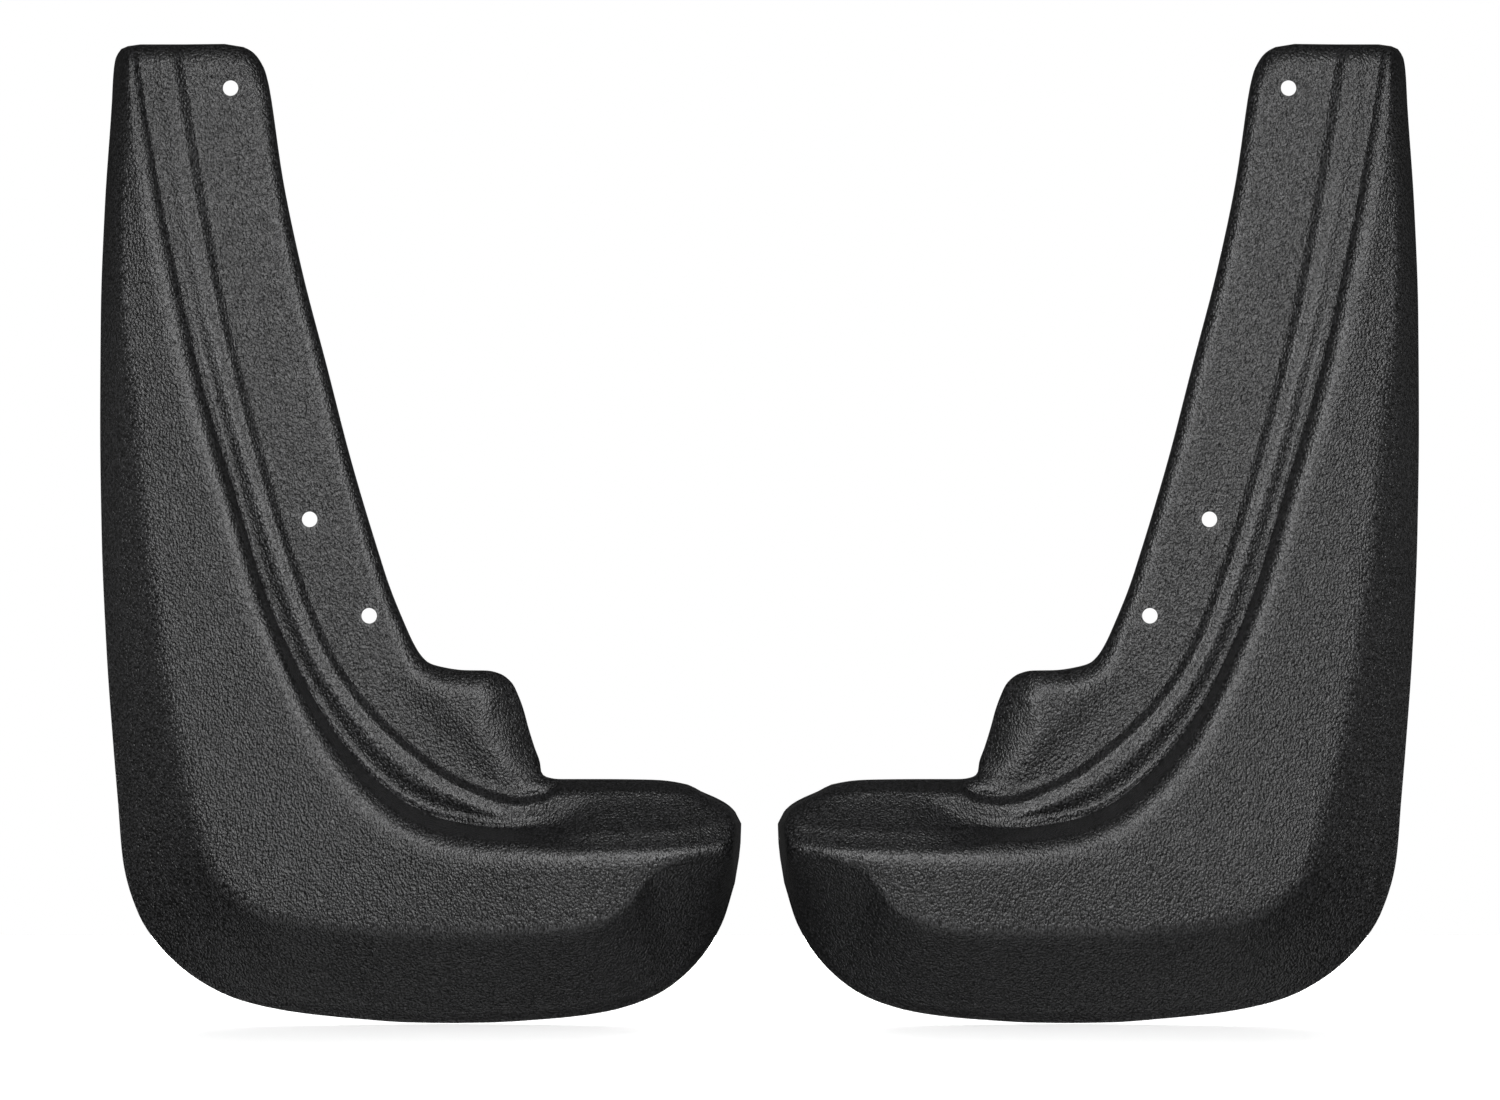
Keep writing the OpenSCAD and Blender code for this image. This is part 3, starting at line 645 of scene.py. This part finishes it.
def math_node(tree, operation, a, b, clamp=False):
    """The output of a new math node; a and b are numbers or the outputs of other nodes."""
    n = tree.nodes.new("ShaderNodeMath")
    n.operation = operation
    n.use_clamp = clamp
    for k, v in enumerate((a, b)):
        if isinstance(v, (int, float)):
            n.inputs[k].default_value = v
        else:
            tree.links.new(v, n.inputs[k])
    return n.outputs[0]


def grained_plastic():
    mat = bpy.data.materials.new("grained_black_plastic")
    mat.use_nodes = True
    tree = mat.node_tree
    link = tree.links.new
    shader = tree.nodes["Principled BSDF"]
    shader.inputs["IOR"].default_value = IOR
    coord = tree.nodes.new("ShaderNodeTexCoord").outputs["Object"]
    wander = node(tree, "ShaderNodeTexNoise", Scale=WANDER_SCALE, Detail=1.0)
    link(coord, wander.inputs["Vector"])
    bent = tree.nodes.new("ShaderNodeVectorMath")
    bent.operation = "MULTIPLY_ADD"
    link(wander.outputs["Color"], bent.inputs[0])
    bent.inputs[1].default_value = (WANDER_REACH,) * 3
    link(coord, bent.inputs[2])
    strokes = tree.nodes.new("ShaderNodeMapping")
    link(bent.outputs[0], strokes.inputs["Vector"])
    strokes.inputs["Scale"].default_value = (1.0, 1.0, STROKE_STRETCH)
    cells = node(tree, "ShaderNodeTexVoronoi", Scale=CELL_SCALE, Randomness=1.0)
    cells.feature = "SMOOTH_F1"
    cells.inputs["Smoothness"].default_value = 0.6
    link(strokes.outputs[0], cells.inputs["Vector"])
    wrinkle = node(tree, "ShaderNodeTexNoise", Scale=WRINKLE_SCALE, Detail=2.0, Roughness=0.55)
    link(strokes.outputs[0], wrinkle.inputs["Vector"])
    fine = node(tree, "ShaderNodeTexNoise", Scale=FINE_SCALE, Detail=1.0)
    link(coord, fine.inputs["Vector"])
    wrinkled = wrinkle.outputs["Fac"]
    grain = math_node(tree, "MULTIPLY", cells.outputs["Distance"], CELL_WEIGHT)
    grain = math_node(tree, "ADD", grain, math_node(tree, "MULTIPLY", wrinkled, WRINKLE_WEIGHT))
    grain = math_node(tree, "ADD", grain, math_node(tree, "MULTIPLY", fine.outputs["Fac"], FINE_WEIGHT))
    stretch = tree.nodes.new("ShaderNodeAttribute")
    stretch.attribute_name = "stretch"
    stretched = stretch.outputs["Fac"]
    ridge = tree.nodes.new("ShaderNodeAttribute")
    ridge.attribute_name = "ridge"
    keep = math_node(tree, "SUBTRACT", 1.0, math_node(tree, "MULTIPLY", stretched, STRETCH_LOSS))
    keep = math_node(tree, "SUBTRACT", keep, math_node(tree, "MULTIPLY", ridge.outputs["Fac"], WEAR_LOSS))
    height = math_node(tree, "MULTIPLY", grain, keep)
    bump = node(tree, "ShaderNodeBump", Strength=1.0, Distance=BUMP_HEIGHT)
    link(height, bump.inputs["Height"])
    link(bump.outputs["Normal"], shader.inputs["Normal"])
    # colour from dark to pale by the wrinkles and the slow tone, and paler still on the ridges as a painted
    # highlight
    tone = node(tree, "ShaderNodeTexNoise", Scale=TONE_SCALE, Detail=3.0, Roughness=0.5)
    link(coord, tone.inputs["Vector"])
    lift = math_node(tree, "ADD", math_node(tree, "MULTIPLY", wrinkled, WRINKLE_SHARE),
                     math_node(tree, "MULTIPLY", tone.outputs["Fac"], TONE_SHARE))
    ramp = tree.nodes.new("ShaderNodeValToRGB")
    ramp.color_ramp.elements[0].position = DARK_FROM
    ramp.color_ramp.elements[0].color = DARK_PLASTIC
    ramp.color_ramp.elements[1].position = PALE_FROM
    ramp.color_ramp.elements[1].color = PALE_PLASTIC
    link(lift, ramp.inputs["Fac"])
    # painted highlight: on the ridges the colour is mixed towards a paler one
    wear_and_highlight = tree.nodes.new("ShaderNodeMix")
    wear_and_highlight.data_type = "RGBA"
    link(ridge.outputs["Fac"], wear_and_highlight.inputs["Factor"])
    link(ramp.outputs["Color"], wear_and_highlight.inputs["A"])
    wear_and_highlight.inputs["B"].default_value = RIDGE_HIGHLIGHT_PLASTIC
    # painted shade and highlight on the grain: the colour is darkened in its pits and lightened on its tops
    painted_grain_light = tree.nodes.new("ShaderNodeMapRange")
    link(grain, painted_grain_light.inputs["Value"])
    painted_grain_light.inputs["From Min"].default_value = PIT_HEIGHT
    painted_grain_light.inputs["From Max"].default_value = TOP_HEIGHT
    painted_grain_light.inputs["To Min"].default_value = PIT_PAINTED_SHADE
    painted_grain_light.inputs["To Max"].default_value = TOP_PAINTED_HIGHLIGHT
    grained = tree.nodes.new("ShaderNodeVectorMath")
    grained.operation = "SCALE"
    link(wear_and_highlight.outputs["Result"], grained.inputs[0])
    link(painted_grain_light.outputs["Result"], grained.inputs["Scale"])
    link(grained.outputs[0], shader.inputs["Base Color"])
    rough = math_node(tree, "MULTIPLY", tone.outputs["Fac"], TONE_ROUGHNESS)
    rough = math_node(tree, "ADD", ROUGHNESS, rough)
    rough = math_node(tree, "SUBTRACT", rough, math_node(tree, "MULTIPLY", stretched, STRETCH_POLISH))
    rise = math_node(tree, "MULTIPLY", wrinkled, WRINKLE_ROUGHNESS)
    rough = math_node(tree, "ADD", rough, rise, clamp=True)
    link(rough, shader.inputs["Roughness"])
    return mat


plastic = grained_plastic()
for flap in flaps:
    flap.data.materials.clear()
    flap.data.materials.append(plastic)


# ---------------------------------------------------------------- floor, light and camera
low, high = (Vector(corner) for corner in cad_box)
middle = (low + high) / 2
middle.y = 0

# Half sizes of the floor, how far it lies below the flaps, its glow and its paleness
FLOOR_X, FLOOR_Y = 2.0, 1.5
FLOOR_GAP = 0.0004
FLOOR_GLOW = 0.35
FLOOR_GREY = 0.9


def pale_floor():
    mat = bpy.data.materials.new("pale_floor")
    mat.use_nodes = True
    shader = mat.node_tree.nodes["Principled BSDF"]
    shader.inputs["Base Color"].default_value = (FLOOR_GREY, FLOOR_GREY, FLOOR_GREY, 1)
    shader.inputs["Roughness"].default_value = 0.9
    shader.inputs["Emission Color"].default_value = (1, 1, 1, 1)
    shader.inputs["Emission Strength"].default_value = FLOOR_GLOW
    return mat


floor_corners = np.array([(-1, -1, 0), (1, -1, 0), (1, 1, 0), (-1, 1, 0)]) * (FLOOR_X, FLOOR_Y, 0)
floor_mesh = new_mesh("floor", floor_corners, [[0, 1, 2, 3]])
floor = linked("floor", floor_mesh)
floor.location = (middle.x, 0, low.z - FLOOR_GAP)
floor_mesh.materials.append(pale_floor())
floor.visible_glossy = False
floor.visible_diffuse = False
floor.visible_shadow = False


def softbox(name, spot, size, radiance, target=middle):
    """A rectangular light at spot that faces target and that the camera doesn't see."""
    lamp = bpy.data.lights.new(name, "AREA")
    lamp.shape = "RECTANGLE"
    lamp.size, lamp.size_y = size
    lamp.energy = radiance * math.pi * size[0] * size[1]
    ob = linked(name, lamp)
    ob.location = spot
    ob.rotation_euler = (target - spot).to_track_quat("-Z", "Y").to_euler()
    ob.visible_camera = False
    return ob


# Distances of the softboxes: far ones, the two beside the pair, and the upright ones in front of it
LIGHT_DISTANCE = 3.0
SIDE_DISTANCE = 0.75
WALL_DISTANCE = 1.15


def at(azimuth, elevation, distance):
    """The point at that distance from the pair's middle; azimuth 0 is in front, elevation 90 above."""
    a, e = math.radians(azimuth), math.radians(elevation)
    return middle + Vector((math.sin(a) * math.cos(e), -math.cos(a) * math.cos(e), math.sin(e))) * distance


def panel(name, azimuth, elevation, half_width, half_height, radiance, distance=LIGHT_DISTANCE):
    """A softbox that spans those angles as seen from the object, at that radiance."""
    size = [2 * distance * math.tan(math.radians(half)) for half in (half_width, half_height)]
    return softbox(name, at(azimuth, elevation, distance), size, radiance)


def wall_panel(name, left, right, bottom, top, radiance):
    """A softbox that stands upright in front of the pair; left and right count from the pair's middle."""
    size = (right - left, top - bottom)
    spot = Vector((middle.x + (left + right) / 2, -WALL_DISTANCE, (bottom + top) / 2))
    return softbox(name, spot, size, radiance, spot + Vector((0, 1, 0)))


# Upright ones: left, right, bottom and top in metres, radiance
wall_panel("front_softbox", -0.20, 0.20, -0.31, 0.60, 4.7)
wall_panel("left_softbox", -0.40, -0.20, -0.31, 0.60, 14.0)
wall_panel("right_softbox", 0.20, 0.40, -0.31, 0.60, 14.0)
# The others: azimuth, elevation, half width and half height in degrees, radiance
panel("low_softbox", 0, -62, 20, 10, 3.0)
panel("top_softbox", 0, 66, 25, 12, 1.0)
panel("left_side_softbox", -94, -2, 10, 16, 0.65, SIDE_DISTANCE)
panel("right_side_softbox", 94, -2, 10, 16, 0.65, SIDE_DISTANCE)
back = panel("back_softbox", 180, 4, 16, 16, 70.0)
back.visible_glossy = False

# The camera sees a white world; everything else is lit by a faint one
AMBIENT = 0.05
world = bpy.data.worlds.new("studio")
bpy.context.scene.world = world
world.use_nodes = True
wt = world.node_tree
wt.nodes.clear()
fill = wt.nodes.new("ShaderNodeBackground")
fill.inputs["Color"].default_value = (1, 1, 1, 1)
fill.inputs["Strength"].default_value = AMBIENT
white = wt.nodes.new("ShaderNodeBackground")
white.inputs["Color"].default_value = (1, 1, 1, 1)
white.inputs["Strength"].default_value = 1.0
path = wt.nodes.new("ShaderNodeLightPath")
mix = wt.nodes.new("ShaderNodeMixShader")
out = wt.nodes.new("ShaderNodeOutputWorld")
wt.links.new(path.outputs["Is Camera Ray"], mix.inputs[0])
wt.links.new(fill.outputs[0], mix.inputs[1])
wt.links.new(white.outputs[0], mix.inputs[2])
wt.links.new(mix.outputs[0], out.inputs["Surface"])
bpy.context.scene.view_settings.view_transform = "Standard"

# A long lens from far off, as the photo has hardly any perspective; it takes in VIEW_WIDTH at the flaps
VIEW_WIDTH = 0.675
CAMERA_X, CAMERA_Z = 0.2338, -0.2079
CAMERA_DISTANCE = 6.5
SENSOR_WIDTH = 36
FAR_CLIP = 50
camera_data = bpy.data.cameras.new("camera")
camera_data.sensor_width = SENSOR_WIDTH
camera_data.lens = SENSOR_WIDTH * CAMERA_DISTANCE / VIEW_WIDTH
camera_data.clip_end = FAR_CLIP
camera = linked("camera", camera_data)
camera.location = (CAMERA_X, -CAMERA_DISTANCE, CAMERA_Z)
camera.rotation_euler = (math.radians(90), 0, 0)
bpy.context.scene.camera = camera

bpy.context.view_layer.update()
